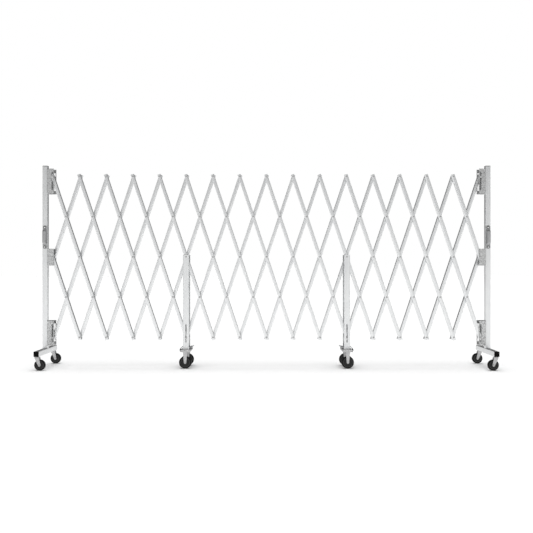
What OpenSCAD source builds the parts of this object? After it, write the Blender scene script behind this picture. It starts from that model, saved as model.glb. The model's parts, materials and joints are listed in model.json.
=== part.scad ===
// Mobile expanding crowd barrier: a lazy-tongs lattice of riveted channels
// between two end posts on castored feet, carried midway by two castored supports.
// +X runs along the barrier, -Y is its front, +Z is up, the floor is z = 0.

/* [Lattice] */
// Distance between neighbouring pivots along a lattice bar
bar_pitch = 320; // [260:1:390]
// Lean of the bars from upright in the modelled position
open_angle = 18.4; // [8:0.1:32]
// Lean of the bars from upright when the barrier is pushed together
folded_angle = 4.5; // [4:0.1:7]
// Lean of the bars from upright when the barrier is pulled out
spread_angle = 37.2; // [34:0.1:40]
// Number of diamonds along the barrier
cell_count = 16; // [12:2:16]
// Diamonds between an end post and the nearest support
support_cell = 5; // [3:1:5]
// Face width of a lattice channel
bar_width = 24; // [16:1:28]
// Depth of a lattice channel
bar_depth = 26; // [20:0.5:32]
// Sheet thickness of a lattice channel
bar_wall = 2; // [1.5:0.5:3]
// Length of a bar past its last pivot
bar_overhang = 19; // [14:1:22]
// Height of the lowest pivot row above the floor
bottom_row = 224.7; // [215:0.1:260]
// Gap between the front bars and the rear bars
plane_gap = 6; // [3:1:8]

/* [Rivets and pins] */
// Diameter of a rivet shank and of a sliding pin
rivet_dia = 8; // [6:0.5:10]
// Diameter of a rivet head
rivet_head_dia = 15; // [13:0.5:18]
// Height of a rivet head
rivet_head_height = 2.4; // [1:0.2:2.6]
// Diameter of a spacer tube round a rivet
spacer_dia = 13; // [12:0.5:16]
// Radial clearance of a pin in a bore that turns on it
pin_fit = 0.05; // [0.02:0.01:0.1]

/* [End frames] */
// Outer width of the square tube of post and foot
tube_width = 38; // [30:1:50]
// Wall of the square tube
tube_wall = 2.5; // [1.5:0.5:4]
// Height of the post above the top pivot row
post_over = 84.7; // [40:0.1:140]
// Length of a foot over its end caps
foot_length = 474; // [360:2:600]
// Height of the underside of a foot above the top of its wheels
foot_over = 23; // [20:1:36]
// Thickness of the black plastic caps
cap_thick = 4; // [2:0.5:8]

/* [Brackets] */
// Clearance between a bracket's flanges and the bars inside it
bracket_clear = 4; // [3:0.5:10]
// How far a bracket stands out from the post
bracket_reach = 52; // [48:1:60]
// Distance from the post face to the end pivots
bracket_pivot = 41; // [38:1:46]
// Sheet thickness of a bracket
bracket_wall = 3; // [2:0.5:4]
// Height of the middle bracket
bracket_height = 127; // [90:1:150]
// Sheet left beyond each end of a bracket slot
slot_margin = 25; // [15:1:40]

/* [Handle] */
// Height of a handle's backplate
handle_height = 178; // [150:1:200]
// Width of the backplate
handle_width = 34; // [26:1:38]
// Outer height of the grip bow of a handle
grip_span = 104; // [90:1:120]
// Height of a handle's middle above the middle pivot row
handle_lift = 152; // [120:1:200]
// Distance between the two handle screws
handle_screws = 148; // [125:1:156]
// How far the grip stands out from the post
handle_reach = 28; // [24:1:50]
// Thickness of the grip
grip_thick = 8; // [6:1:12]
// Width of the grip
grip_width = 26; // [16:1:30]

/* [Supports] */
// Width of an upright
upright_width = 45; // [36:1:50]
// Depth of an upright channel
upright_depth = 16; // [12:1:20]
// Sheet thickness of an upright
upright_wall = 3; // [2:0.5:4]
// Clearance between the uprights and the bars that pass between them
upright_clear = 3.5; // [3:0.5:6]
// Length of an upright above its pivot bolt
upright_over = 18; // [14:1:24]
// Width of a support base plate
base_width = 76; // [66:1:84]
// Length of the base plate beyond the fork legs at each end
base_over = 5; // [4:0.5:12]
// Height of the top of the base plate above the top of its wheels
base_rise = 45; // [42:1:60]
// Depth of the turned-down rim of the base plate
base_rim = 13; // [8:1:14]
// Distance between the front and the rear wheel of a support
support_wheelbase = 190; // [176:1:200]

/* [Casters] */
// Diameter of an end wheel
end_wheel_dia = 80; // [66:1:96]
// Diameter of a support wheel
support_wheel_dia = 92; // [76:1:112]
// Width of a wheel tread
wheel_width = 26; // [18:1:32]
// Distance from an end of a foot to the swivel axis of its caster
caster_inset = 32; // [28:1:60]
// Trail of a swivel caster
caster_trail = 19; // [12:1:26]
// Sheet thickness of a caster fork
fork_wall = 3; // [2:0.5:4]
// Width of a fork leg where it meets the crown
fork_top_width = 32; // [26:1:38]
// Radius of the rounded tip of a fork leg
fork_tip = 9; // [7:0.5:12]

/* [Hidden] */
$fn = 48;
eps = 0.01;
seat = 0.3;                          // gap that keeps touching round parts apart
skin = 0.05;                         // gap between a head and the sheet it clamps
row_count = 4;                       // bar lengths from the top row to the bottom row
columns = 2 * cell_count;
half_cell = bar_pitch * sin(open_angle);
row_step = bar_pitch * cos(open_angle);
rivet_r = rivet_dia / 2;
pin_bore_r = rivet_r + pin_fit;
plane = plane_gap / 2;               // half the gap between the two bar planes
front_face = -plane - bar_depth;     // y of the front bars' webs
back_face = plane + bar_depth;       // y of the rear bars' open edges
end_x = half_cell * columns / 2;     // x of an end pivot column
post_x = end_x + bracket_pivot + tube_width / 2;
row_height = bottom_row + row_count / 2 * row_step;          // z of the middle pivot row
post_top = row_height + row_count / 2 * row_step + post_over; // the overall height
slot_far = row_count / 2 * bar_pitch * cos(folded_angle);    // a sliding pin's greatest and
slot_near = row_count / 2 * bar_pitch * cos(spread_angle);   // least distance to that row
foot_clearance = end_wheel_dia + foot_over;
foot_top = foot_clearance + tube_width;
end_wheelbase = foot_length - 2 * caster_inset;
bracket_in = bracket_clear + back_face;
bracket_width = 2 * (bracket_in + bracket_wall);
base_top = support_wheel_dia + base_rise;
cap_plug = 14;                       // how far a cap's plug reaches into its tube
plug_fit = 0.2;
head_gap = 0.3;                      // axial clearance under a head that slides
slot_fit = 1;                        // clearance of a pin across its slot
slot_width = rivet_dia + 2 * slot_fit;
upright_front = front_face - upright_clear;      // y of the front upright's open edges
upright_back = back_face + upright_clear - 1.5;  // the rear has no rivet heads to clear
upright_top = row_height + upright_over;
support_column = 2 * support_cell;
king_dia = 12;                       // swivel pin of an end caster
crown_thick = 6;
crown_gap = 3;
axle_dia = 8;
screw_r = 2.5;                       // radius of a handle screw
screw_head_r = 6.5;
plate_thick = 4;                     // backplate of a handle
base_wall = 3;                       // sheet thickness of a base plate
tip_bite = 0.05;                     // how far a leg's edges cut into its rounded tip
leg_gap = 1.5;                       // between a wheel and the fork leg beside it
fork_width = wheel_width + 2 * (leg_gap + fork_wall);
base_length = support_wheelbase + fork_width + 2 * base_over;
pedal_pin_z = base_top + 8;
pedal_span = 100;                    // length of the pedal's wings along y
pedal_neck = 46;                     // length of the pedal between the uprights
pedal_wall = 3;

first_bar = -2;                      // column where the first, half-length bar would start
bar_starts = [for (c = [first_bar : 2 : columns - 2]) c];
function two(n) = n < 10 ? str("0", n) : str(n);
function bar_name(side, i) = str(side, "_bar_", two(i + 1));
sides = ["left", "right"];
places = ["front", "rear"];

function column_x(j) = (j - columns / 2) * half_cell;
function row_z(r) = row_height + (row_count / 2 - r) * row_step;
// a front bar meets row r at column start + r, a rear bar at start + row_count - r
function bar_column(side, c, r) = side == "front" ? c + r : c + row_count - r;
function bar_rows(side, c) = [for (r = [0 : row_count])
    if (bar_column(side, c, r) >= 0 && bar_column(side, c, r) <= columns) r];
function is_end(j) = j == 0 || j == columns;
function is_support(j) = j == support_column || j == columns - support_column;
// what holds the pivot at column j, row r
function pivot_kind(j, r) =
    is_end(j) ? (r == row_count / 2 ? "post_bolt" : "slide_pin")
    : is_support(j) && r == row_count / 2 ? "support_bolt"
    : is_support(j) && r == row_count ? "support_pin"
    : "rivet";

// ---- general helpers ----

module along_y(y0, y1) {
    translate([0, y1, 0]) rotate([90, 0, 0]) linear_extrude(y1 - y0) children();
}

module rod_y(r, y0, y1) {
    translate([0, y1, 0]) rotate([90, 0, 0]) cylinder(r = r, h = y1 - y0);
}

module tube_y(r_out, r_in, y0, y1) {
    difference() {
        rod_y(r_out, y0, y1);
        rod_y(r_in, y0 - 1, y1 + 1);
    }
}

// a head that stands proud towards -y (way = -1) or +y (way = 1) from y
module head_y(r, h, y, way) {
    translate([0, y, 0]) rotate([-90 * way, 0, 0]) union() {
        cylinder(r = r, h = h / 2);
        translate([0, 0, h / 2]) cylinder(r1 = r, r2 = r * 0.65, h = h / 2);
    }
}

module round_rect(w, h, r) {
    union() {
        translate([-w / 2 + r, -h / 2]) square([w - 2 * r, h]);
        translate([-w / 2, -h / 2 + r]) square([w, h - 2 * r]);
        for (x = [-1, 1], y = [-1, 1])
            translate([x * (w / 2 - r), y * (h / 2 - r)]) circle(r);
    }
}

// a strip of even thickness along a bent line, with round bends and ends
module bent_strip(points, t) {
    for (i = [0 : len(points) - 2]) {
        step = points[i + 1] - points[i];
        translate(points[i]) rotate(atan2(step[1], step[0]))
            translate([0, -t / 2]) square([norm(step), t]);
    }
    for (p = points) translate(p) circle(t / 2, $fn = 24);
}

module mirrored(side) {
    mirror([side == "right" ? 1 : 0, 0, 0]) children();
}

// ---- lattice ----

// one channel lying from its first to its last pivot, web at y0, flanges towards +y
module channel(c, side, y0) {
    rows = bar_rows(side, c);
    top = rows[0];
    bottom = rows[len(rows) - 1];
    lean = side == "front" ? -open_angle : open_angle;
    length = (bottom - top) * bar_pitch + 2 * bar_overhang;
    translate([column_x(bar_column(side, c, top)), 0, row_z(top)]) rotate([0, lean, 0])
        difference() {
            translate([0, 0, bar_overhang - length / 2])
                along_y(y0, y0 + bar_depth) round_rect(bar_width, length, 1.5);
            translate([-bar_width / 2 + bar_wall, y0 + bar_wall, bar_overhang - length - 1])
                cube([bar_width - 2 * bar_wall, bar_depth, length + 2]);
            for (r = rows)
                translate([0, 0, -(r - top) * bar_pitch])
                    rod_y(pin_bore_r, y0 - 1, y0 + bar_wall + 1);
        }
}

// a rivet joins a front bar to a rear bar, with a spacer tube inside the front channel
module rivet() {
    tail = plane + bar_wall + head_gap;
    union() {
        rod_y(rivet_r, front_face - skin, tail);
        head_y(rivet_head_dia / 2, rivet_head_height, front_face - skin, -1);
        head_y(rivet_head_dia / 2 - 1, rivet_head_height, tail, 1);
    }
    spacer(front_face + bar_wall + skin, plane - head_gap);
}

// a tube that keeps two sheets apart round a rivet, pin or bolt
module spacer(y0, y1) {
    tube_y(spacer_dia / 2, rivet_r + seat, y0, y1);
}

// a bolt through two walls whose outer faces lie at y0 and y1
module bolt(y0, y1) {
    union() {
        rod_y(rivet_r, y0 - skin, y1 + skin);
        head_y(7, 4, y0 - skin, -1);
        head_y(7, 4, y1 + skin, 1);
    }
}

// a long pin held by one bar, with a head outside each of the two slotted walls
module long_pin(y_front, y_back) {
    union() {
        rod_y(rivet_r, y_front - head_gap, y_back + head_gap);
        head_y(slot_width / 2 + 3, 4, y_front - head_gap, -1);
        head_y(slot_width / 2 + 3, 4, y_back + head_gap, 1);
    }
}

module bar_fittings(side, j, r) {
    kind = pivot_kind(j, r);
    if (kind == "rivet" && side == "front") rivet();
    if (kind == "support_pin" && side == "front") {
        long_pin(upright_front - upright_depth, upright_back + upright_depth);
        spacer(front_face + bar_wall + skin, plane - head_gap);
    }
    if (kind == "slide_pin") {
        long_pin(-bracket_width / 2, bracket_width / 2);
        if (side == "front")
            spacer(front_face + bar_wall + skin, bracket_in - head_gap);
        else {
            spacer(-bracket_in + head_gap, plane - skin);
            spacer(plane + bar_wall + skin, bracket_in - head_gap);
        }
    }
}

module bar(side, i) {
    c = bar_starts[i];
    color("gainsboro") channel(c, side, side == "front" ? front_face : plane);
    color("silver")
        for (r = bar_rows(side, c))
            translate([column_x(bar_column(side, c, r)), 0, row_z(r)])
                bar_fittings(side, bar_column(side, c, r), r);
}

// ---- end frames ----

module square_tube(length) {
    difference() {
        translate([0, 0, length / 2]) cube([tube_width, tube_width, length], center = true);
        translate([0, 0, length / 2])
            cube([tube_width - 2 * tube_wall, tube_width - 2 * tube_wall, length + 2],
                center = true);
    }
}

// post and foot, welded together
module end_frame(side) {
    tube_length = foot_length - 2 * (cap_thick + skin);
    color("gainsboro") mirrored(side) translate([-post_x, 0, 0]) difference() {
        union() {
            translate([0, 0, foot_top]) square_tube(post_top - cap_thick - skin - foot_top);
            translate([0, -tube_length / 2, foot_clearance + tube_width / 2])
                rotate([-90, 0, 0]) square_tube(tube_length);
        }
        for (y = [-1, 1])
            translate([0, y * end_wheelbase / 2, foot_clearance - 1])
                cylinder(r = king_dia / 2 + pin_fit, h = tube_wall + 2);
    }
}

module cap() {
    inner = tube_width - 2 * tube_wall - 2 * plug_fit;
    difference() {
        union() {
            linear_extrude(cap_thick) round_rect(tube_width, tube_width, 3);
            translate([-inner / 2, -inner / 2, -cap_plug]) cube([inner, inner, cap_plug + eps]);
        }
        translate([-inner / 2 + 3, -inner / 2 + 3, -cap_plug - 1])
            cube([inner - 6, inner - 6, cap_plug]);
    }
}

module caps(side) {
    color("black") mirrored(side) translate([-post_x, 0, 0]) {
        translate([0, 0, post_top - cap_thick]) cap();
        for (y = [-1, 1])
            translate([0, y * (foot_length / 2 - cap_thick), foot_clearance + tube_width / 2])
                rotate([-90 * y, 0, 0]) cap();
    }
}

// a folded sheet with its back on the post and two flanges that face inwards
module bracket_channel(z0, z1) {
    difference() {
        translate([0, -bracket_width / 2, z0]) cube([bracket_reach, bracket_width, z1 - z0]);
        translate([bracket_wall, -bracket_in, z0 - 1])
            cube([bracket_reach, 2 * bracket_in, z1 - z0 + 2]);
    }
}

module slot_cut(z0, z1) {
    r = slot_width / 2;
    translate([bracket_pivot, 0, z0]) rod_y(r, -bracket_width, bracket_width);
    translate([bracket_pivot, 0, z1]) rod_y(r, -bracket_width, bracket_width);
    translate([bracket_pivot - r, -bracket_width, z0]) cube([2 * r, 2 * bracket_width, z1 - z0]);
}

module slotted_bracket(z0, z1) {
    over = slot_width / 2 + slot_margin;
    difference() {
        bracket_channel(z0 - over, z1 + over);
        slot_cut(z0, z1);
    }
}

// the bolt that carries the two bars of a middle-row pivot between two walls
module carrying_bolt(y0, y1, wall) {
    bolt(y0, y1);
    spacer(y0 + wall + skin, front_face - head_gap);
    spacer(front_face + bar_wall + head_gap, plane - head_gap);
    spacer(plane + bar_wall + head_gap, y1 - wall - skin);
}

module brackets(side) {
    color("darkgray") mirrored(side) translate([-post_x + tube_width / 2, 0, 0]) {
        slotted_bracket(row_height + slot_near, row_height + slot_far);
        slotted_bracket(row_height - slot_far, row_height - slot_near);
        difference() {
            bracket_channel(row_height - bracket_height / 2, row_height + bracket_height / 2);
            translate([bracket_pivot, 0, row_height])
                rod_y(pin_bore_r, -bracket_width, bracket_width);
        }
        translate([bracket_pivot, 0, row_height])
            carrying_bolt(-bracket_width / 2, bracket_width / 2, bracket_wall);
    }
}

// a bow handle: a backplate with round ends and a bow that stands clear of it
module handle(side) {
    arm_low = grip_span / 2 - grip_thick;
    z_mid = row_height + handle_lift;
    color("gray") mirrored(side) translate([-post_x, -tube_width / 2, z_mid]) {
        difference() {
            union() {
                along_y(-plate_thick, 0)
                    round_rect(handle_width, handle_height, handle_width / 2 - 1);
                for (z = [-1, 1])
                    translate([0, 0, z * (arm_low + grip_thick / 2)])
                        along_y(-handle_reach, 0) square([grip_width, grip_thick], center = true);
                along_y(-handle_reach, grip_thick - handle_reach)
                    square([grip_width, grip_span], center = true);
            }
            for (z = [-1, 1])
                translate([0, 0, z * handle_screws / 2])
                    rod_y(screw_r + pin_fit, -plate_thick - 1, 1);
        }
        for (z = [-1, 1])
            translate([0, 0, z * handle_screws / 2]) union() {
                rod_y(screw_r, -plate_thick - skin, -skin);
                head_y(screw_head_r, screw_head_r / 2, -plate_thick - skin, -1);
            }
    }
}

// ---- casters ----

// where a line from p touches the circle of radius r about the origin
function touch(p, r, way) =
    let (a = atan2(p[1], p[0]) + way * acos(r / norm(p))) r * [cos(a), sin(a)];

// outline of a fork leg: the tip circle at the axle, two straight edges to the crown
module leg_outline(x_crown, z_crown) {
    left = [x_crown - fork_top_width / 2, z_crown];
    right = [x_crown + fork_top_width / 2, z_crown];
    rise = [0, crown_thick];
    union() {
        circle(fork_tip);
        polygon([touch(left, fork_tip - tip_bite, 1), left, left + rise,
            right + rise, right, touch(right, fork_tip - tip_bite, -1), [0, 0]]);
    }
}

// fork round a wheel whose axle is at the origin, crown at height z_crown over it
module fork(x_crown, z_crown) {
    y_leg = wheel_width / 2 + leg_gap;
    difference() {
        union() {
            for (y = [-y_leg - fork_wall, y_leg])
                along_y(y, y + fork_wall) leg_outline(x_crown, z_crown);
            translate([x_crown - fork_top_width / 2, -y_leg - fork_wall / 2, z_crown])
                cube([fork_top_width, 2 * y_leg + fork_wall, crown_thick]);
        }
        rod_y(axle_dia / 2 + pin_fit, -wheel_width, wheel_width);
    }
}

module axle() {
    y_end = wheel_width / 2 + leg_gap + fork_wall + skin;
    union() {
        rod_y(axle_dia / 2, -y_end, y_end);
        head_y(6.5, 4, -y_end, -1);
        head_y(6.5, 4, y_end, 1);
    }
}

// wheel about its axle: rounded tread, recessed sides, hub out to the fork legs
module wheel(dia) {
    r = dia / 2;
    half = wheel_width / 2;
    edge = 5;
    color("black") rotate([90, 0, 0]) difference() {
        rotate_extrude() difference() {
            union() {
                translate([0, -half + edge]) square([r, wheel_width - 2 * edge]);
                translate([0, -half]) square([r - edge, wheel_width]);
                for (y = [-1, 1]) translate([r - edge, y * (half - edge)]) circle(edge);
                square([12, 2 * half + 1.6], center = true);
            }
            translate([-r, -half - 1]) square([r, wheel_width + 2]);
            for (y = [-1, 1])
                translate([13, y > 0 ? half - 4 : -half - 1]) square([r - 28, 5]);
        }
        cylinder(r = axle_dia / 2 + pin_fit, h = wheel_width + 10, center = true);
    }
}

module end_caster_at(side, place) {
    y = (place == "front" ? -1 : 1) * end_wheelbase / 2;
    mirrored(side) translate([-post_x + caster_trail, y, end_wheel_dia / 2]) children();
}

// swivel fork with its king pin through the foot's lower wall
module caster_fork(side, place) {
    crown_top = foot_clearance - crown_gap - end_wheel_dia / 2;
    color("silver") end_caster_at(side, place) {
        union() {
            fork(-caster_trail, crown_top - crown_thick);
            translate([-caster_trail, 0, crown_top - eps])
                cylinder(r = fork_top_width / 2 - 2, h = crown_gap - seat + eps);
            translate([-caster_trail, 0, crown_top])
                cylinder(r = king_dia / 2, h = crown_gap + tube_wall + 8);
        }
        axle();
    }
}

module caster_wheel(side, place) {
    end_caster_at(side, place) wheel(end_wheel_dia);
}

// ---- supports ----

module at_support(side) {
    mirrored(side) translate([column_x(support_column), 0, 0]) children();
}

// one upright: a channel, web outwards, slotted for the bottom pivot
module upright(y_web, way) {
    z_mid = (upright_top + base_top) / 2;
    height = upright_top - base_top;
    y_low = min(y_web, y_web + way * upright_depth);
    inside = upright_width - 2 * upright_wall;
    difference() {
        translate([0, 0, z_mid]) along_y(y_low, y_low + upright_depth)
            round_rect(upright_width, height, 3);
        translate([0, y_web + way * (upright_wall + upright_depth), z_mid - upright_wall / 2])
            cube([inside, 2 * upright_depth, height + upright_wall + 2], center = true);
        translate([0, 0, row_height]) rod_y(pin_bore_r, y_low - 1, y_low + upright_depth + 1);
        for (z = [row_height - slot_far, row_height - slot_near])
            translate([0, 0, z]) rod_y(slot_width / 2, y_low - 1, y_low + upright_depth + 1);
        translate([-slot_width / 2, y_low - 1, row_height - slot_far])
            cube([slot_width, upright_depth + 2, slot_far - slot_near]);
    }
}

module support_uprights(side) {
    y_front = upright_front - upright_depth;
    y_back = upright_back + upright_depth;
    color("gainsboro") at_support(side) {
        upright(y_front, 1);
        upright(y_back, -1);
    }
    color("silver") at_support(side) translate([0, 0, row_height])
        carrying_bolt(y_front, y_back, upright_wall);
}

// pressed base plate with a rim, two rigid forks under it and two lugs for the pedal
module support_base(side) {
    lug = 5;
    z_axle = support_wheel_dia / 2;
    color("darkgray") at_support(side) {
        difference() {
            translate([0, 0, base_top - base_rim])
                linear_extrude(base_rim) round_rect(base_width, base_length, 10);
            translate([0, 0, base_top - base_rim - 1])
                linear_extrude(base_rim - base_wall + 1)
                    round_rect(base_width - 2 * base_wall, base_length - 2 * base_wall,
                        10 - base_wall);
        }
        for (y = [-1, 1])
            translate([0, y * (pedal_neck / 2 + 1 + lug / 2), 0]) difference() {
                union() {
                    translate([-7, -lug / 2, base_top - eps]) cube([14, lug, 8 + eps]);
                    translate([0, 0, pedal_pin_z]) rod_y(7, -lug / 2, lug / 2);
                }
                translate([0, 0, pedal_pin_z]) rod_y(3 + pin_fit, -lug, lug);
            }
        translate([0, 0, pedal_pin_z]) rod_y(3, -pedal_neck / 2 - 8, pedal_neck / 2 + 8);
    }
    color("silver") at_support(side)
        for (y = [-1, 1])
            translate([0, y * support_wheelbase / 2, z_axle]) {
                fork(0, base_top - base_wall - skin - crown_thick - z_axle);
                axle();
            }
}

// rocker pedal: one wing hooks down outside the plate, the other turns up
module brake_pedal(side) {
    neck = [[-31, 9], [-20, 9], [20, 9], [31, 9]];
    outer_wing = [[-31, 9], [-39, 3], [-48, -8], [-49, -18], [-43, -26]];
    inner_wing = [[31, 9], [42, 10], [52, 15]];
    color("slategray") at_support(side) translate([0, 0, pedal_pin_z]) difference() {
        union() {
            along_y(-pedal_neck / 2, pedal_neck / 2) bent_strip(neck, pedal_wall);
            along_y(-pedal_span / 2, pedal_span / 2) bent_strip(outer_wing, pedal_wall);
            along_y(-pedal_span / 2, pedal_span / 2) bent_strip(inner_wing, pedal_wall);
            rod_y(6, -pedal_neck / 2, pedal_neck / 2);
            translate([-6, -pedal_neck / 2, 0]) cube([12, pedal_neck, 9]);
        }
        rod_y(3 + pin_fit, -pedal_neck, pedal_neck);
    }
}

module support_wheel(side, place) {
    y = (place == "front" ? -1 : 1) * support_wheelbase / 2;
    at_support(side) translate([0, y, support_wheel_dia / 2]) wheel(support_wheel_dia);
}

// ---- the nodes ----

for (i = [0 : len(bar_starts) - 1], s = ["front", "rear"])
    bar(s, i);
for (s = sides) {
    end_frame(s);
    brackets(s);
    caps(s);
    handle(s);
    support_uprights(s);
    support_base(s);
    brake_pedal(s);
    for (p = places) {
        caster_fork(s, p);
        caster_wheel(s, p);
        support_wheel(s, p);
    }
}
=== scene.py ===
# Expanding crowd control barrier: riveted lattice between two handled end posts, with two castored supports.
# Everything is in metres, with +X along the barrier, -Y towards the front and the floor at z = 0.
import json
import math

import bmesh
import bpy
import numpy as np
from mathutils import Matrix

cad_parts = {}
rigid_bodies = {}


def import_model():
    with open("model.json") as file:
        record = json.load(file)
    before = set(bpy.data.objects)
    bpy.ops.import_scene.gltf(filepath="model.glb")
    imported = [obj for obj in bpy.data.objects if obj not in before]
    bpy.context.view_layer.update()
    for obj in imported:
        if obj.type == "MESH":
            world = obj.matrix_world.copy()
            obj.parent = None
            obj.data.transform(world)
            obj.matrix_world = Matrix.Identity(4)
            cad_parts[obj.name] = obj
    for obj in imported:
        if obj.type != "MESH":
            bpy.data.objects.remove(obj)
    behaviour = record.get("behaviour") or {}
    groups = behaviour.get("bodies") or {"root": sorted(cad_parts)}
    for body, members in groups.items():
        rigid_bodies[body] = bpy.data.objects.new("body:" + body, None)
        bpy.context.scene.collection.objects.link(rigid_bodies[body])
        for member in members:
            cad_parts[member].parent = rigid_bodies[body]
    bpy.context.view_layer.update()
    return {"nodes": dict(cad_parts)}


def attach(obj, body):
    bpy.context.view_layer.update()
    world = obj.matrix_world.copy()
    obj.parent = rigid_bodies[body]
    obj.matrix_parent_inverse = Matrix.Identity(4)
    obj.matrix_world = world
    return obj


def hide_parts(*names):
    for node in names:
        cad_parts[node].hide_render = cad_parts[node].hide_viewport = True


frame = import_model()
print("frame loaded:", len(frame["nodes"]), "nodes")

mm = 0.001

# sizes that more than one piece shares, the same as in the part
lattice = {
    "pitch": 320 * mm, "openAngle": math.radians(18.4), "cells": 16, "rows": 4, "midHeight": 831.98 * mm,
    "barWidth": 24 * mm, "barDepth": 26 * mm, "barWall": 2 * mm, "overhang": 19 * mm, "planeGap": 6 * mm,
}
# what holds the lattice: the column of each support, the faces of its uprights, and the brackets of the ends
clasp = {"column": 10, "front": -48.5 * mm, "rear": 47 * mm, "half": 36 * mm, "wall": 3 * mm}
halfCell = lattice["pitch"] * math.sin(lattice["openAngle"])
rowStep = lattice["pitch"] * math.cos(lattice["openAngle"])
frontFace = -lattice["planeGap"] / 2 - lattice["barDepth"]
rearFace = lattice["planeGap"] / 2


def columnX(column):
    return (column - lattice["cells"]) * halfCell


def rowZ(row):
    return lattice["midHeight"] + (lattice["rows"] / 2 - row) * rowStep


# a part is a pair: its points, n x 3, and its faces as index lists

def roundCorners(points, cuts, steps=5):
    # each corner P becomes the curve (1-t)^2 A + 2t(1-t) P + t^2 B, where A and B lie a cut away on its two edges
    p = np.asarray(points, float)
    cut = np.broadcast_to(np.asarray(cuts, float), (len(p),))[:, None]
    before, after = np.roll(p, 1, 0) - p, np.roll(p, -1, 0) - p
    before /= np.linalg.norm(before, axis=1, keepdims=True)
    after /= np.linalg.norm(after, axis=1, keepdims=True)
    t = np.linspace(0, 1, steps)[None, :, None]
    a, b = (p + before * cut)[:, None], (p + after * cut)[:, None]
    return ((1 - t) ** 2 * a + 2 * t * (1 - t) * p[:, None] + t ** 2 * b).reshape(-1, 2)


def gridQuads(rows, columns, closeRows=False, closeColumns=True):
    # quads over a grid of points that lie row by row; a row is a closed loop unless closeColumns is off
    i = np.arange(rows if closeRows else rows - 1)[:, None]
    j = np.arange(columns if closeColumns else columns - 1)
    down, across = (i + 1) % rows * columns, (j + 1) % columns
    return np.stack([i * columns + j, i * columns + across, down + across, down + j], -1).reshape(-1, 4)


def loft(rings, closeRings=False):
    # surface through a stack of closed rings (m x n x 3), its two ends filled unless the stack closes on itself
    m, n = rings.shape[:2]
    faces = gridQuads(m, n, closeRings).tolist()
    if not closeRings:
        faces += [list(range(n))[::-1], list(range((m - 1) * n, m * n))]
    return rings.reshape(-1, 3), faces


def revolve(profile, segments=48):
    # (radius, along) turned about the Y axis: x = r cos a, y = along, z = r sin a; open where both ends
    # meet the axis
    profile = np.asarray(profile, float)
    radius, a = profile[:, :1], np.linspace(0, 2 * math.pi, segments, endpoint=False)
    closed = max(profile[0, 0], profile[-1, 0]) > 1e-9
    return (grid3(radius * np.cos(a), profile[:, 1:], radius * np.sin(a)).reshape(-1, 3),
            gridQuads(len(profile), segments, closed).tolist())


def inset(outline, distance):
    # every point of a closed counterclockwise outline moves inwards along its own normal
    tangent = np.roll(outline, -1, 0) - np.roll(outline, 1, 0)
    tangent /= np.linalg.norm(tangent, axis=1, keepdims=True) + 1e-12
    return outline + np.stack([-tangent[:, 1], tangent[:, 0]], -1) * distance


def level(outline, height, draw=0.0):
    # a flat outline laid at one height, drawn in a little
    return np.column_stack([inset(outline, draw), np.full(len(outline), height)])


def softEnds(low, high, draw):
    # the height and draw of four levels that soften both ends
    return (low, draw), (low + draw, 0), (high - draw, 0), (high, draw)


def plate(outline, low, high, edge=0.4 * mm):
    # a flat sheet with softened edges: levels of the outline from low to high, drawn in by edge at both faces
    return loft(np.stack([level(outline, *k) for k in softEnds(low, high, edge)]))


def evenSteps(line, count, closed=False):
    # points at even steps along a bent line, found by its running length, and how far along each one lies
    line = np.vstack([line, line[:1]]) if closed else line
    reach = np.concatenate([[0], np.cumsum(np.linalg.norm(np.diff(line, axis=0), axis=1))])
    along = np.linspace(0, reach[-1], count, endpoint=not closed)
    return np.column_stack([np.interp(along, reach, line[:, k]) for k in (0, 1)]), along


def box2(width, height):
    return np.array([(-1, -1), (1, -1), (1, 1), (-1, 1)]) * (width / 2, height / 2)


def grid3(x, y, z):
    # coordinates that broadcast to one grid of points
    return np.stack(np.broadcast_arrays(x, y, z), -1)


def tangentsOf(line):
    tangent = np.gradient(line, axis=0)
    return tangent / np.linalg.norm(tangent, axis=1, keepdims=True)


def place(part, axes, origin=(0, 0, 0)):
    # local (a, b, c) go to origin + a axes[0] + b axes[1] + c axes[2]
    return part[0] @ np.asarray(axes, float) + np.asarray(origin, float), part[1]


def shift(part, offset):
    return part[0] + np.asarray(offset, float), part[1]


upright = ((1, 0, 0), (0, 0, 1), (0, 1, 0))     # a flat shape in x and z, its thickness along y
lying = ((1, 0, 0), (0, 0, -1), (0, 1, 0))      # a shape along z, laid along y


def addObject(name, data):
    obj = bpy.data.objects.new(name, data)
    bpy.context.scene.collection.objects.link(obj)
    return obj


def makePiece(name, parts, material, body, replaces=(), smooth=38, spots=None, bevel=None):
    # joins parts into one mesh, merges doubles, turns the faces outwards and hands the piece to its body
    sizes = np.cumsum([0] + [len(points) for points, _ in parts])
    points = np.concatenate([points for points, _ in parts])
    faces = [[k + base for k in face] for (_, partFaces), base in zip(parts, sizes) for face in partFaces]
    mesh = bpy.data.meshes.new(name)
    mesh.from_pydata(points.tolist(), [], faces)
    local = points if spots is None else np.concatenate(spots)
    spot = mesh.attributes.new("spot", "FLOAT_VECTOR", "POINT")
    spot.data.foreach_set("vector", local.astype(np.float32).ravel())
    work = bmesh.new()
    work.from_mesh(mesh)
    bmesh.ops.remove_doubles(work, verts=work.verts, dist=1e-6)
    bmesh.ops.recalc_face_normals(work, faces=work.faces)
    work.to_mesh(mesh)
    work.free()
    mesh.polygons.foreach_set("use_smooth", np.ones(len(mesh.polygons), bool))
    mesh.set_sharp_from_angle(angle=math.radians(smooth))
    obj = addObject(name, mesh)
    mesh.materials.append(material)
    if bevel:
        mod = obj.modifiers.new("softEdges", "BEVEL")
        mod.width, mod.segments, mod.limit_method, mod.angle_limit = bevel, 2, "ANGLE", math.radians(50)
    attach(obj, body)
    if replaces:
        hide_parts(*replaces)
    return obj


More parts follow.
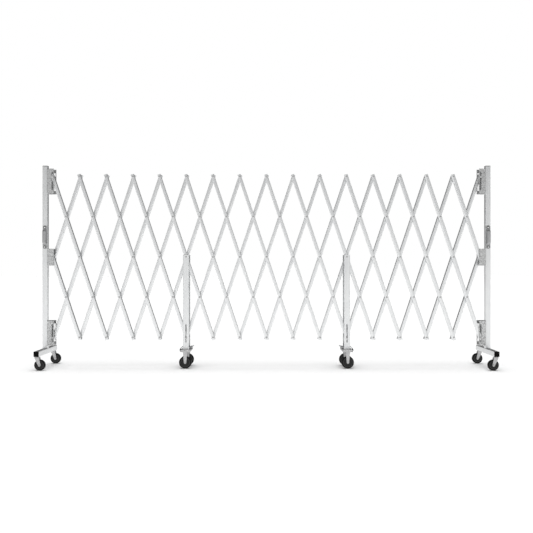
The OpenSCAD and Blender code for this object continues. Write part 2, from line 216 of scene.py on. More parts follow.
def addNode(tree, kind, **values):
    # another node's output is linked, any other value is set; input1 is the second input, and _ stands for a space
    node = tree.nodes.new("ShaderNode" + kind)
    for key, value in values.items():
        if hasattr(node, key):
            setattr(node, key, value)
            continue
        socket = node.inputs[int(key[5:]) if key.startswith("input") else key.replace("_", " ")]
        if isinstance(value, bpy.types.NodeSocket):
            tree.links.new(value, socket)
        else:
            socket.default_value = value
    return node


def feed(tree, node, **sources):
    # links sources to a node that is there already
    for key, source in sources.items():
        tree.links.new(source, node.inputs[key.replace("_", " ")])


def objectSpot(tree):
    return addNode(tree, "TexCoord").outputs["Object"]


def toneRamp(tree, source, low, high, start=0.3, end=0.7):
    ramp = addNode(tree, "ValToRGB", Fac=source)
    for stop, position, tone in zip(ramp.color_ramp.elements, (start, end), (low, high)):
        stop.position, stop.color = position, (*tone, 1)
    return ramp.outputs["Color"]


def rangeOf(tree, source, low, high, start=0.3, end=0.7):
    # the source from start to end becomes low to high
    return addNode(tree, "MapRange", Value=source, From_Min=start, From_Max=end,
                   To_Min=low, To_Max=high).outputs["Result"]


def newGroup(name, inputs, outputs):
    group = bpy.data.node_groups.new(name, "ShaderNodeTree")
    for label, value in inputs.items():
        group.interface.new_socket(label, in_out="INPUT", socket_type="NodeSocketFloat").default_value = value
    for label in outputs:
        group.interface.new_socket(label, in_out="OUTPUT", socket_type="NodeSocketFloat")
    return group, group.nodes.new("NodeGroupInput"), group.nodes.new("NodeGroupOutput")


def makeGrainGroup():
    # fine lines along the local z axis of the "spot" attribute, as drawn or rolled metal has, and broad clouds
    group, source, sink = newGroup("rolledGrain", {"Across": 1400.0, "Along": 9.0}, ("Lines", "Clouds"))
    across, along = source.outputs["Across"], source.outputs["Along"]
    spot = addNode(group, "Attribute", attribute_name="spot")
    stretch = addNode(group, "CombineXYZ", X=across, Y=across, Z=along)
    scaled = addNode(group, "VectorMath", operation="MULTIPLY",
                     input0=spot.outputs["Vector"], input1=stretch.outputs["Vector"])
    lines = addNode(group, "TexNoise", Vector=scaled.outputs["Vector"],
                    Scale=1.0, Detail=4.0, Roughness=0.65)
    clouds = addNode(group, "TexNoise", Vector=objectSpot(group), Scale=9.0, Detail=3.0, Roughness=0.55)
    feed(group, sink, Lines=lines.outputs["Fac"], Clouds=clouds.outputs["Fac"])
    return group


def makeSpangleGroup():
    # zinc crystals: cells bent by noise, each with its own tone, with a soft speckle on top
    group, source, sink = newGroup("zincSpangle", {"Cell Scale": 160.0, "Speckle Scale": 900.0}, ("Tone", "Relief"))
    where = objectSpot(group)
    warp = addNode(group, "TexNoise", Vector=where, Scale=70.0, Detail=2.0)
    bend = addNode(group, "VectorMath", operation="MULTIPLY_ADD",
                   input0=warp.outputs["Color"], input1=(0.008,) * 3, input2=where)
    cells = addNode(group, "TexVoronoi", Vector=bend.outputs["Vector"], Scale=source.outputs["Cell Scale"])
    split = addNode(group, "SeparateColor", Color=cells.outputs["Color"])
    speckle = addNode(group, "TexNoise", Vector=where, Scale=source.outputs["Speckle Scale"],
                      Detail=5.0, Roughness=0.7)
    tones = addNode(group, "Mix", data_type="FLOAT", Factor=0.45,
                    A=split.outputs["Red"], B=speckle.outputs["Fac"])
    feed(group, sink, Tone=tones.outputs["Result"], Relief=cells.outputs["Distance"])
    return group


def makeDustGroup():
    # grime that gathers near the floor, broken up by noise
    group, source, sink = newGroup("floorDust", {"Height": 0.12, "Amount": 0.5}, ("Mask",))
    where = objectSpot(group)
    split = addNode(group, "SeparateXYZ", Vector=where)
    fade = rangeOf(group, split.outputs["Z"], 1.0, 0.0, 0.0, source.outputs["Height"])
    patches = addNode(group, "TexNoise", Vector=where, Scale=60.0, Detail=5.0, Roughness=0.6)
    both = addNode(group, "Math", operation="MULTIPLY", input0=fade, input1=patches.outputs["Fac"])
    mask = addNode(group, "Math", operation="MULTIPLY", use_clamp=True,
                   input0=both.outputs["Value"], input1=source.outputs["Amount"])
    feed(group, sink, Mask=mask.outputs["Value"])
    return group


grainGroup = makeGrainGroup()
spangleGroup = makeSpangleGroup()
dustGroup = makeDustGroup()


def makeMaterial(name, layers, **settings):
    # layers gives the colour, what varies the roughness, the least and most that it adds, and the relief's
    # height and depth
    material = bpy.data.materials.new(name)
    material.use_nodes = True
    tree, rough = material.node_tree, settings["roughness"]
    shader = tree.nodes["Principled BSDF"]
    shader.inputs["Metallic"].default_value = settings.get("metallic", 0.0)
    shader.inputs["Specular IOR Level"].default_value = settings.get("specular", 0.5)
    colour, vary, (least, most), height, depth = layers(tree, settings)
    bump = addNode(tree, "Bump", Strength=settings["relief"], Distance=depth, Height=height)
    feed(tree, shader, Base_Color=colour, Roughness=rangeOf(tree, vary, rough + least, rough + most),
         Normal=bump.outputs["Normal"])
    return material


def dusted(tree, settings, tone, grime):
    dust = addNode(tree, "Group", node_tree=dustGroup,
                   Height=settings["dustHeight"], Amount=settings["dust"])
    mix = addNode(tree, "Mix", data_type="RGBA", Factor=dust.outputs["Mask"], A=tone, B=grime)
    return mix.outputs["Result"]


def rolled(tree, settings):
    # aluminium: fine lines along the piece in colour, roughness and relief, with faint clouding
    grain = addNode(tree, "Group", node_tree=grainGroup, Across=settings["across"], Along=settings["along"])
    lines = grain.outputs["Lines"]
    tint = addNode(tree, "Mix", data_type="RGBA", blend_type="MULTIPLY", Factor=1.0,
                   A=toneRamp(tree, lines, settings["dark"], settings["light"]),
                   B=toneRamp(tree, grain.outputs["Clouds"], settings["cloudDark"], (1, 1, 1)))
    return tint.outputs["Result"], lines, (-0.06, 0.08), lines, 0.0002


def galvanised(tree, settings):
    # hot dipped zinc: mottled crystals in tone and roughness
    spangle = addNode(tree, "Group", node_tree=spangleGroup,
                      Cell_Scale=settings["cells"], Speckle_Scale=settings["speckle"])
    tone = toneRamp(tree, spangle.outputs["Tone"], settings["dark"], settings["light"], 0.25, 0.75)
    return (dusted(tree, settings, tone, (0.34, 0.33, 0.31, 1)), spangle.outputs["Tone"], (0.1, -0.08),
            spangle.outputs["Relief"], 0.0003)


def moulded(tree, settings):
    # plastic or rubber: a fine leathery texture, faint tone patches and dust low down
    where = objectSpot(tree)
    pores = addNode(tree, "TexNoise", Vector=where, Scale=settings["pores"], Detail=4.0, Roughness=0.6)
    patches = addNode(tree, "TexNoise", Vector=where, Scale=40.0, Detail=3.0)
    tone = toneRamp(tree, patches.outputs["Fac"], settings["dark"], settings["light"])
    return (dusted(tree, settings, tone, (0.30, 0.29, 0.27, 1)), pores.outputs["Fac"], (-0.08, 0.08),
            pores.outputs["Fac"], 0.0002)


barMetal = makeMaterial("barAluminium", rolled,
    metallic=0.92, roughness=0.34, across=1100.0, along=5.0, relief=0.16,
    dark=(0.75, 0.76, 0.76), light=(0.95, 0.96, 0.96), cloudDark=(0.94, 0.94, 0.95))
postMetal = makeMaterial("postAluminium", rolled,
    metallic=0.92, roughness=0.34, across=800.0, along=4.0, relief=0.14,
    dark=(0.745, 0.755, 0.755), light=(0.93, 0.94, 0.94), cloudDark=(0.94, 0.94, 0.95))
zincSheet = makeMaterial("galvanisedSteel", galvanised,
    metallic=0.9, roughness=0.44, cells=250.0, speckle=1000.0, relief=0.12,
    dark=(0.38,) * 3, light=(0.75, 0.76, 0.76), dustHeight=0.16, dust=0.2)
zincPlate = makeMaterial("zincSteel", galvanised,
    metallic=0.4, roughness=0.36, cells=420.0, speckle=1600.0, relief=0.05,
    dark=(0.46, 0.46, 0.465), light=(0.67,) * 3, dustHeight=0.10, dust=0.2)
pedalMetal = makeMaterial("pedalSteel", galvanised,
    metallic=0.25, roughness=0.42, cells=300.0, speckle=1300.0, relief=0.06,
    dark=(0.26, 0.27, 0.28), light=(0.42, 0.43, 0.44), dustHeight=0.14, dust=0.2)
blackPlastic = makeMaterial("blackPlastic", moulded,
    roughness=0.6, pores=1800.0, relief=0.15, specular=0.08,
    dark=(0.002,) * 3, light=(0.004,) * 3, dustHeight=0.1, dust=0.0)
greyPlastic = makeMaterial("greyPlastic", moulded,
    roughness=0.5, pores=1600.0, relief=0.15,
    dark=(0.37, 0.375, 0.38), light=(0.46, 0.465, 0.47), dustHeight=0.1, dust=0.1)
tyreRubber = makeMaterial("wheelRubber", moulded,
    roughness=0.6, pores=1400.0, relief=0.25, specular=0.18,
    dark=(0.005,) * 3, light=(0.010,) * 3, dustHeight=0.03, dust=0.08)
hubPlastic = makeMaterial("hubPlastic", moulded,
    roughness=0.4, pores=1700.0, relief=0.1, specular=0.4,
    dark=(0.006,) * 3, light=(0.012,) * 3, dustHeight=0.05, dust=0.05)
# the rim beads are a lighter grey than the near-black hub, a painted highlight ring, with real gloss from their
# shape on top
rimPlastic = makeMaterial("rimPlastic", moulded,
    roughness=0.35, pores=1700.0, relief=0.08, specular=0.6,
    dark=(0.045, 0.045, 0.046), light=(0.075, 0.075, 0.076), dustHeight=0.05, dust=0.08)
weldMetal = makeMaterial("weldAluminium", galvanised,
    metallic=0.85, roughness=0.4, cells=700.0, speckle=1900.0, relief=0.2,
    dark=(0.55, 0.55, 0.56), light=(0.74, 0.74, 0.75), dustHeight=0.1, dust=0.1)
brightSteel = makeMaterial("brightSteel", galvanised,
    metallic=0.9, roughness=0.26, cells=600.0, speckle=2200.0, relief=0.04,
    dark=(0.78,) * 3, light=(0.90,) * 3, dustHeight=0.08, dust=0.3)
print("materials made:", len(bpy.data.materials))


barLook = {
    "bend": 2.2 * mm, "innerBend": 0.8 * mm, "lip": 0.5 * mm, "endDraw": 0.3 * mm,
    "rivetHead": 7.5 * mm, "rivetTail": 6.5 * mm, "rivetRise": 2.4 * mm, "rivetShank": 4 * mm,
    "spacerOut": 6.5 * mm, "spacerIn": 4.3 * mm, "skin": 0.05 * mm, "headGap": 0.3 * mm,
    "pinHead": 8 * mm, "pinRise": 4 * mm, "firstColumn": -2,
}


def channelSection(width, depth, wall, bend, innerBend, lip):
    # the outline of a U, its back at y = 0 and its two lips at y = depth, with round bends
    w = width / 2
    corners = [(-w, depth), (-w, 0), (w, 0), (w, depth),
               (w - wall, depth), (w - wall, wall), (wall - w, wall), (wall - w, depth)]
    return roundCorners(corners, [lip, bend, bend, lip, lip, innerBend, innerBend, lip])


def channelBar(low, high, y0, section, draw):
    # the section carried from low to high along z, drawn in a little at both ends
    return loft(np.stack([level(section, *k) + (0, y0, 0) for k in softEnds(low, high, draw)]))


def domed(radius, rise, y, way, steps=5):
    # half the profile of a domed head: a short rim, then a quarter ellipse that ends on the axis
    a = np.linspace(0, math.pi / 2, steps)
    rim = 0.28 * rise
    return np.column_stack([radius * np.cos(a) ** 0.8, y + way * (rim + (rise - rim) * np.sin(a))])


def headedPin(shank, head, rise, y0, y1, tail=None, segments=24):
    # one closed profile: dome, shank and dome, turned about the y axis
    tail = tail or head
    front = domed(head, rise, y0, -1)[::-1]
    back = domed(tail, rise, y1, 1)
    front[0, 0] = back[-1, 0] = 0
    return revolve(np.vstack([front, [(head, y0), (shank, y0), (shank, y1), (tail, y1)], back]), segments)


def spacerTube(y0, y1, segments=20):
    out, bore, edge = barLook["spacerOut"], barLook["spacerIn"], 0.3 * mm
    profile = [(bore, y0), (out - edge, y0), (out, y0 + edge), (out, y1 - edge), (out - edge, y1), (bore, y1)]
    return revolve(profile, segments)


def pivotKind(column, row):
    last, middle = 2 * lattice["cells"], lattice["rows"] // 2
    if column in (0, last):
        return "post" if row == middle else "slide"
    if column in (clasp["column"], last - clasp["column"]) and row in (middle, lattice["rows"]):
        return "support" if row == middle else "guide"
    return "rivet"


def pivotFittings(layer, kind):
    # what a bar of this layer carries at one pivot: rivets and pins with their spacer tubes
    skin, gap, shank = barLook["skin"], barLook["headGap"], barLook["rivetShank"]
    frontSheet, rearSheet = frontFace + lattice["barWall"] + skin, rearFace + lattice["barWall"]
    between = spacerTube(frontSheet, rearFace - gap)
    pin = (shank, barLook["pinHead"], barLook["pinRise"])
    if kind == "rivet" and layer == "front":
        return [headedPin(shank, barLook["rivetHead"], barLook["rivetRise"], frontFace - skin, rearSheet + gap,
                          barLook["rivetTail"]), between]
    if kind == "guide" and layer == "front":
        return [headedPin(*pin, clasp["front"] - gap, clasp["rear"] + gap), between]
    if kind == "slide":
        long = headedPin(*pin, -clasp["half"] - gap, clasp["half"] + gap)
        inside = clasp["half"] - clasp["wall"] - gap
        if layer == "front":
            return [long, spacerTube(frontSheet, inside)]
        return [long, spacerTube(-inside, rearFace - skin), spacerTube(rearSheet + skin, inside)]
    return []


def makeBar(layer, index):
    # a bar crosses one column a row; it leans by the open angle about its top pivot
    start, lastRow = barLook["firstColumn"] + 2 * index, lattice["rows"]
    columns = [start + (r if layer == "front" else lastRow - r) for r in range(lastRow + 1)]
    rows = [r for r in range(lastRow + 1) if 0 <= columns[r] <= 2 * lattice["cells"]]
    pivots = [(columnX(columns[r]), 0, rowZ(r)) for r in rows]
    lean = lattice["openAngle"] * (-1 if layer == "front" else 1)
    axes = ((math.cos(lean), 0, -math.sin(lean)), (0, 1, 0), (math.sin(lean), 0, math.cos(lean)))
    section = channelSection(lattice["barWidth"], lattice["barDepth"], lattice["barWall"],
                             barLook["bend"], barLook["innerBend"], barLook["lip"])
    low = -(rows[-1] - rows[0]) * lattice["pitch"] - lattice["overhang"]
    channel = channelBar(low, lattice["overhang"], frontFace if layer == "front" else rearFace,
                         section, barLook["endDraw"])
    node = f"{layer}_bar_{index + 1:02d}"
    makePiece(f"{node}_channel", [place(channel, axes, pivots[0])], barMetal, node, (node,),
              spots=[channel[0] + (index * 0.37, 0, index * 0.71)])
    fittings = [shift(fitting, pivot) for r, pivot in zip(rows, pivots)
                for fitting in pivotFittings(layer, pivotKind(columns[r], r))]
    if fittings:
        makePiece(f"{node}_rivets", fittings, zincPlate, node)


for index in range(lattice["cells"] + 1):
    makeBar("front", index)
    makeBar("rear", index)
print("lattice bars made")


def gridPatch(points, normals):
    # quads over an r x c grid of points, each with the direction in which the sheet's thickness lies
    quads = gridQuads(*points.shape[:2], closeColumns=False)
    return points.reshape(-1, 3), np.broadcast_to(normals, points.shape).reshape(-1, 3), quads


def ringPatch(outer, inner, normal):
    # quads between two closed loops of as many points
    points = np.vstack([outer, inner])
    return points, np.broadcast_to(np.asarray(normal, float), points.shape), gridQuads(2, len(outer))


def thicken(patches, thickness):
    # patches that share edges become one sheet: its far face lies thickness along the normals, and walls
    # close its rim
    sizes = np.cumsum([0] + [len(p) for p, _, _ in patches])
    points = np.vstack([p for p, _, _ in patches])
    normals = np.vstack([n for _, n, _ in patches])
    quads = np.vstack([q + base for (_, _, q), base in zip(patches, sizes)])
    _, first, same = np.unique(np.round(points / (0.01 * mm)).astype(np.int64), axis=0,
                               return_index=True, return_inverse=True)
    same = same.reshape(-1)
    points, normals, quads = points[first], normals[first], same[quads]
    edges = np.stack([quads, np.roll(quads, -1, 1)], -1).reshape(-1, 2)
    edges = edges[edges[:, 0] != edges[:, 1]]
    keys, at, count = np.unique(np.sort(edges, 1), axis=0, return_index=True, return_counts=True)
    rim = edges[at[count == 1]]
    n = len(points)
    faces = quads.tolist() + (quads[:, ::-1] + n).tolist() + np.column_stack([rim, rim[:, ::-1] + n]).tolist()
    faces = [[k for m, k in enumerate(face) if k != face[m - 1]] for face in faces]
    return np.vstack([points, points + normals * thickness]), [face for face in faces if len(face) > 2]


def slotLoops(low, high, left, right, slotLow, slotHigh, radius, mid, steps):
    # the edge of a rectangle and a long round-ended slot in it, both in four runs of as many points
    t = np.linspace(0, 1, steps, endpoint=False)
    corners = np.array([(right, low), (right, high), (left, high), (left, low)])
    edges = np.roll(corners, -1, 0) - corners
    rect = (corners[:, None] + edges[:, None] * t[:, None]).reshape(-1, 2)
    a, tall = math.pi * t, slotHigh - slotLow
    runs = ((mid + radius, slotLow + tall * t), (mid + radius * np.cos(a), slotHigh + radius * np.sin(a)),
            (mid - radius, slotHigh - tall * t), (mid - radius * np.cos(a), slotLow - radius * np.sin(a)))
    return rect, np.vstack([np.column_stack(np.broadcast_arrays(*run)) for run in runs])


def bentChannel(width, depth, bend, low, high, wall, webSlot=None, lipSlot=None, steps=12):
    # a channel along z with its back at b = 0 and lips to b = depth; a slot is (low, high, radius, middle)
    z, w, turn = np.linspace(low, high, steps + 1)[:, None], width / 2, np.linspace(0, math.pi / 2, 6)
    if webSlot:
        loops = slotLoops(low, high, -w + bend, w - bend, *webSlot, steps)
        patches = [ringPatch(*[grid3(loop[:, 0], 0.0, loop[:, 1]) for loop in loops], (0, 1, 0))]
    else:
        patches = [gridPatch(grid3(np.linspace(-w + bend, w - bend, 5), 0.0, z), (0.0, 1.0, 0.0))]
    for side in (-1, 1):
        a, b = side * (w - bend + bend * np.sin(turn)), bend - bend * np.cos(turn)
        patches.append(gridPatch(grid3(a, b, z), grid3(-side * np.sin(turn), np.cos(turn), 0 * z)))
        if lipSlot:
            loops = slotLoops(low, high, bend, depth, *lipSlot, steps)
            patches.append(ringPatch(*[grid3(side * w, loop[:, 0], loop[:, 1]) for loop in loops], (-side, 0, 0)))
        else:
            patches.append(gridPatch(grid3(side * w, np.linspace(bend, depth, 5), z), (-float(side), 0.0, 0.0)))
    return thicken(patches, wall)


def ribbon(path, centres, halfWidths, thickness, columns=9):
    # a sheet carried along a bent line (y, z), its width in x changing on the way: x = centre + u * halfWidth
    tangent = tangentsOf(path)
    x = np.asarray(centres)[:, None] + np.linspace(-1, 1, columns) * np.asarray(halfWidths)[:, None]
    normals = grid3(0 * x, tangent[:, 1:], -tangent[:, :1])
    return thicken([gridPatch(grid3(x, path[:, :1], path[:, 1:]), normals)], thickness)


endFrame = {
    "postX": 1676.11 * mm, "tube": 38 * mm, "wall": 2.5 * mm, "corner": 3.2 * mm, "footLength": 474 * mm,
    "clearance": 103 * mm, "top": 1523.96 * mm, "cap": 4 * mm, "capCorner": 4 * mm, "capSoft": 1.6 * mm,
    "plug": 14 * mm, "plugGap": 2.7 * mm, "plugCorner": 2 * mm,
    "bead": 2.0 * mm, "beadRipple": 0.3 * mm, "beadInset": 0.5 * mm, "beadLift": 0.4 * mm,
}
endFrame["footTop"] = endFrame["clearance"] + endFrame["tube"]


def squareTube(low, high, size, wall, corner):
    # a rounded square carried along z, outside and inside, with softened ends
    outer = roundCorners(box2(size, size), corner, 7)
    inner = roundCorners(box2(size - 2 * wall, size - 2 * wall), corner * 0.5, 7)
    rings = [level(outer, *k) for k in softEnds(low, high, 0.4 * mm)] + [level(inner, high), level(inner, low)]
    return loft(np.stack(rings), closeRings=True)


def weldBead(size, corner, height, radius, ripple):
    # a round bead that follows the foot of the post: its radius swells and shrinks along the run
    run = evenSteps(roundCorners(box2(size, size), corner, 9), 120, closed=True)[0]
    normal = inset(run, -1.0) - run
    a = np.linspace(0, 2 * math.pi, 10, endpoint=False)
    r = radius + ripple * np.sin(np.arange(len(run)) * math.pi * 0.4)[:, None]
    out, up = r * np.cos(a), r * np.sin(a)
    return loft(grid3(run[:, :1] + normal[:, :1] * out, run[:, 1:] + normal[:, 1:] * out, height + up),
                closeRings=True)


def capShape():
    # a rounded square lid with a crowned rim, over a plug; rings shrink and rise along a quarter circle at the rim
    size, thick, soft = endFrame["tube"], endFrame["cap"], endFrame["capSoft"]
    lid = roundCorners(box2(size, size), endFrame["capCorner"], 9)
    plugSize = size - 2 * endFrame["plugGap"]
    plug = roundCorners(box2(plugSize, plugSize), endFrame["plugCorner"], 9)
    a = np.linspace(0, math.pi / 2, 6)
    rim = [level(lid, h, d) for h, d in zip(thick - soft + soft * np.sin(a), soft * (1 - np.cos(a)))]
    return loft(np.stack([level(plug, -endFrame["plug"]), level(plug, 0), level(lid, 0, 0.2 * mm), *rim,
                          level(lid * 0.82, thick)]))


bracketLook = {
    "reach": 52 * mm, "pivot": 41 * mm, "bend": 4.5 * mm, "margin": 30 * mm, "slotRadius": 5 * mm,
    "near": 640 * mm * math.cos(math.radians(37.2)), "far": 640 * mm * math.cos(math.radians(4.5)),
    "middleHalf": 63.5 * mm, "head": 7 * mm, "rise": 4 * mm,
}
handleLook = {
    "lift": 152 * mm, "height": 178 * mm, "width": 34 * mm, "plate": 4 * mm, "span": 104 * mm, "reach": 28 * mm,
    "gripThick": 8 * mm, "gripWidth": 26 * mm, "gripCorner": 3.4 * mm, "bend": 12 * mm, "screws": 74 * mm,
    "screwHead": 6.5 * mm, "screwShank": 2.5 * mm, "proud": 0.9 * mm,
}


def carryingBolt(y0, y1, wall):
    # a headed bolt through both sheets and both layers of bars, with a spacer tube in each space between them
    skin, gap, barWall = barLook["skin"], barLook["headGap"], lattice["barWall"]
    return [headedPin(barLook["rivetShank"], bracketLook["head"], bracketLook["rise"], y0 - skin, y1 + skin),
            spacerTube(y0 + wall + skin, frontFace - gap), spacerTube(frontFace + barWall + gap, rearFace - gap),
            spacerTube(rearFace + barWall + gap, y1 - wall - skin)]


def makeEnd(side, way):
    # way is -1 for the left end and 1 for the right; the brackets point inwards
    tube, wall, corner, cap = endFrame["tube"], endFrame["wall"], endFrame["corner"], endFrame["cap"]
    x, mid, body, skin = way * endFrame["postX"], lattice["midHeight"], f"{side}_end", barLook["skin"]
    footMid = np.array((x, 0, endFrame["clearance"] + tube / 2))
    footHalf = endFrame["footLength"] / 2 - cap
    post = squareTube(endFrame["footTop"], endFrame["top"] - cap - skin, tube, wall, corner)
    foot = squareTube(-footHalf + skin, footHalf - skin, tube, wall, corner)
    makePiece(f"{side}_post_and_foot", [shift(post, (x, 0, 0)), place(foot, lying, footMid)], postMetal, body,
              (f"{side}_end_frame",), spots=[post[0] + (way, 0, 0), foot[0] + (way, 3, 0)])
    bead = weldBead(tube - 2 * endFrame["beadInset"], corner, endFrame["footTop"] + endFrame["beadLift"],
                    endFrame["bead"], endFrame["beadRipple"])
    makePiece(f"{side}_post_weld", [shift(bead, (x, 0, 0))], weldMetal, body)
    lid = capShape()
    lids = [place(lid, ((1, 0, 0), (0, 0, -k), (0, k, 0)), footMid + (0, k * footHalf, 0)) for k in (-1, 1)]
    makePiece(f"{side}_tube_caps", [shift(lid, (x, 0, endFrame["top"] - cap)), *lids], blackPlastic, body,
              (f"{side}_caps",))

    look, half, wall = bracketLook, clasp["half"], clasp["wall"]
    inwards, face = ((0, 1, 0), (-way, 0, 0), (0, 0, 1)), (x - way * tube / 2, 0, mid)
    bent = (2 * half, look["reach"], look["bend"])
    slots = ((look["near"], look["far"]), (-look["far"], -look["near"]))
    sheets = [bentChannel(*bent, low - look["margin"], high + look["margin"], wall,
                          lipSlot=(low, high, look["slotRadius"], look["pivot"])) for low, high in slots]
    sheets.append(bentChannel(*bent, -look["middleHalf"], look["middleHalf"], wall))
    makePiece(f"{side}_bracket_sheets", [place(k, inwards, face) for k in sheets], zincSheet, body,
              (f"{side}_brackets",), bevel=0.5 * mm)
    pivot = (face[0] - way * look["pivot"], 0, mid)
    makePiece(f"{side}_bracket_bolt", [shift(k, pivot) for k in carryingBolt(-half, half, wall)], zincPlate, body)


def makeHandle(side, way):
    # a back plate with round ends, and a flat section carried along the bow, a little wider at both feet
    look, body = handleLook, f"{side}_end"
    thick, grip, head = look["plate"], look["gripThick"], look["screwHead"]
    centre = np.array((way * endFrame["postX"], -endFrame["tube"] / 2, lattice["midHeight"] + look["lift"]))
    outline = roundCorners(box2(look["width"], look["height"]), look["width"] / 2 - 1 * mm, 11)
    back = place(plate(outline, -thick, 0, edge=1.0 * mm), upright)
    h, out = (look["span"] - grip) / 2, look["reach"] - grip / 2
    line = roundCorners([(-thick / 2, -h), (-out, -h), (-out, h), (-thick / 2, h)],
                        [0.01 * mm, look["bend"], look["bend"], 0.01 * mm], 9)[8:-8]
    tangent, step = tangentsOf(line), np.arange(len(line))
    section = roundCorners(box2(look["gripWidth"], grip), look["gripCorner"], 7)
    flare = 1 + 0.10 * np.exp(-((step - np.array([[0], [step[-1]]])) / 1.6) ** 2).sum(0)
    bow = loft(grid3(section[:, 0] * flare[:, None], line[:, :1] - tangent[:, 1:] * section[:, 1],
                     line[:, 1:] + tangent[:, :1] * section[:, 1]))
    makePiece(f"{side}_bow_handle", [shift(k, centre) for k in (back, bow)], greyPlastic, body,
              (f"{side}_handle",))
    front, low, high = -thick - look["proud"], -thick + 0.6 * mm, -thick - 0.3 * mm
    bore, rim = head * 0.5, head * 1.5
    ring = revolve([(head * 1.38, front), (rim, high), (rim, low), (bore, low), (bore, front)], 32)
    screw = headedPin(look["screwShank"], head, head / 2, front, -0.1 * mm, look["screwShank"])
    ends = [centre + (0, 0, k * look["screws"]) for k in (-1, 1)]
    makePiece(f"{side}_handle_screws", [shift(screw, e) for e in ends], brightSteel, body)
    makePiece(f"{side}_handle_rings", [shift(ring, e) for e in ends], blackPlastic, body)


for side, way in (("left", -1), ("right", 1)):
    makeEnd(side, way)
    makeHandle(side, way)
print("end frames, brackets and handles made")


wheelLook = {
    "endRadius": 40 * mm, "width": 26 * mm, "tyre": 10 * mm, "shoulder": 5 * mm, "bore": 4.05 * mm, "boss": 12 * mm,
    "proud": 0.8 * mm, "recess": 4.5 * mm,
}
forkLook = {
    "gap": 1.5 * mm, "wall": 3 * mm, "topWidth": 32 * mm, "tip": 9 * mm, "crown": 6 * mm, "crownPlate": 3 * mm,
    "bend": 5 * mm, "axle": 4 * mm, "nut": 6.5 * mm, "nutRise": 4 * mm, "trail": 19 * mm, "inset": 32 * mm,
    "ring": 14 * mm, "raceDrop": 3 * mm, "king": 6 * mm, "kingRise": 13 * mm,
}


def makeWheel(node, centre, radius):
    # tread with a slight crown and round shoulders; the hub is a disc with a rim bead, a rib and a boss
    half, edge, rim = wheelLook["width"] / 2, wheelLook["shoulder"], radius - wheelLook["tyre"]
    deep, boss, proud = half - wheelLook["recess"], wheelLook["boss"], half + wheelLook["proud"]
    a = np.linspace(0, math.pi / 2, 7)
    wall = [(rim, -half + 1.6 * mm), (rim + 1.2 * mm, -half + 0.9 * mm), (rim + 2.2 * mm, -half + 0.2 * mm)]
    flank = np.vstack([wall, np.column_stack([radius - edge + edge * np.sin(a), -half + edge - edge * np.cos(a)])])
    crown = np.column_stack([np.full(3, radius), (-half + edge) * np.array([0.5, 0, -0.5])])
    tyre = np.vstack([flank, crown, (flank * (1, -1))[::-1]])
    face = np.array([(wheelLook["bore"], proud), (boss - 3 * mm, proud), (boss - 2 * mm, half - 0.4 * mm),
                     (boss, half - 0.8 * mm), (boss + 0.8 * mm, deep + 0.6 * mm), (boss + 2 * mm, deep),
                     (rim * 0.66, deep), (rim * 0.69, deep + 1.4 * mm), (rim * 0.74, deep + 1.4 * mm),
                     (rim * 0.77, deep), (rim - 3.2 * mm, deep), (rim + 0.3 * mm, deep)])
    hub = np.vstack([face * (1, -1), face[::-1]])
    a = np.linspace(0, math.pi, 9)
    bead = np.vstack([np.column_stack([rim - 1.5 * mm + 2.1 * mm * np.cos(a), deep + 2.9 * mm * np.sin(a)]),
                      [(rim - 3.6 * mm, deep - 0.3 * mm), (rim + 0.6 * mm, deep - 0.3 * mm)]])
    for label, profiles, material, stands in (
            ("tyre", [tyre], tyreRubber, (node,)), ("hub", [hub], hubPlastic, ()),
            # the rim beads take the lighter material: a painted highlight ring on real beads
            ("rim_beads", [bead * (1, k) for k in (-1, 1)], rimPlastic, ())):
        makePiece(f"{node}_{label}", [shift(revolve(k, 64), centre) for k in profiles], material, node,
                  stands)


def tangentPoint(p, radius, way):
    # where a line from p touches a circle about the origin
    a = math.atan2(p[1], p[0]) + way * math.acos(radius / math.hypot(*p))
    return radius * math.cos(a), radius * math.sin(a)


def forkSheet(centre, crownLow):
    # one ribbon: up a leg from its round tip, over the crown and down the other leg; a leg widens along tangents
    tip, half = forkLook["tip"], forkLook["topWidth"] / 2
    side = wheelLook["width"] / 2 + forkLook["gap"] + forkLook["wall"]
    bend, top = forkLook["bend"], crownLow + forkLook["crown"]
    a = np.radians(np.linspace(11, 100, 10))
    legZ = np.concatenate([-tip * np.cos(a), np.linspace(2.2 * mm, crownLow, 9), [top - bend]])
    turn = np.linspace(0, math.pi / 2, 7)[1:]
    pathY = np.concatenate([np.full(len(legZ), -side), -side + bend - bend * np.cos(turn), [-side / 3]])
    pathZ = np.concatenate([legZ, top - bend + bend * np.sin(turn), [top]])

    def edge(way):
        corner = (centre + way * half, crownLow)
        t = tangentPoint(corner, tip, -way)
        line = t[0] + (corner[0] - t[0]) * (pathZ - t[1]) / (corner[1] - t[1])
        curve = way * np.sqrt(np.maximum(tip ** 2 - pathZ ** 2, 0))
        return np.where(pathZ < t[1], curve, np.where(pathZ > crownLow, corner[0], line))

    left, right = edge(-1), edge(1)
    y, z, mid, wide = [np.concatenate([line, way * line[::-1]]) for line, way in (
        (pathY, -1), (pathZ, 1), ((left + right) / 2, 1), ((right - left) / 2, 1))]
    return ribbon(np.column_stack([y, z]), mid, wide, forkLook["wall"])


def axleParts():
    # axle with a six-sided nut over a round washer at each side
    end = wheelLook["width"] / 2 + forkLook["gap"] + forkLook["wall"]
    nut, rise, shank = forkLook["nut"], forkLook["nutRise"], forkLook["axle"]
    parts = [revolve([(0, -end - rise), (shank, -end - rise), (shank, end + rise), (0, end + rise)], 24)]
    for way in (-1, 1):
        y0, y1 = way * (end + 0.1 * mm), way * (end + 0.9 * mm)
        parts.append(revolve([(shank, y0), (nut * 1.25, y0), (nut * 1.25, y1), (shank, y1)], 32))
        y2 = way * (end + rise - 0.6 * mm)
        parts.append(revolve([(shank, y1), (nut * 0.97, y1), (nut, y1 + way * 0.3 * mm), (nut, y2 - way * 0.5 * mm),
                              (nut * 0.86, y2), (shank, y2)], 6))
    return parts


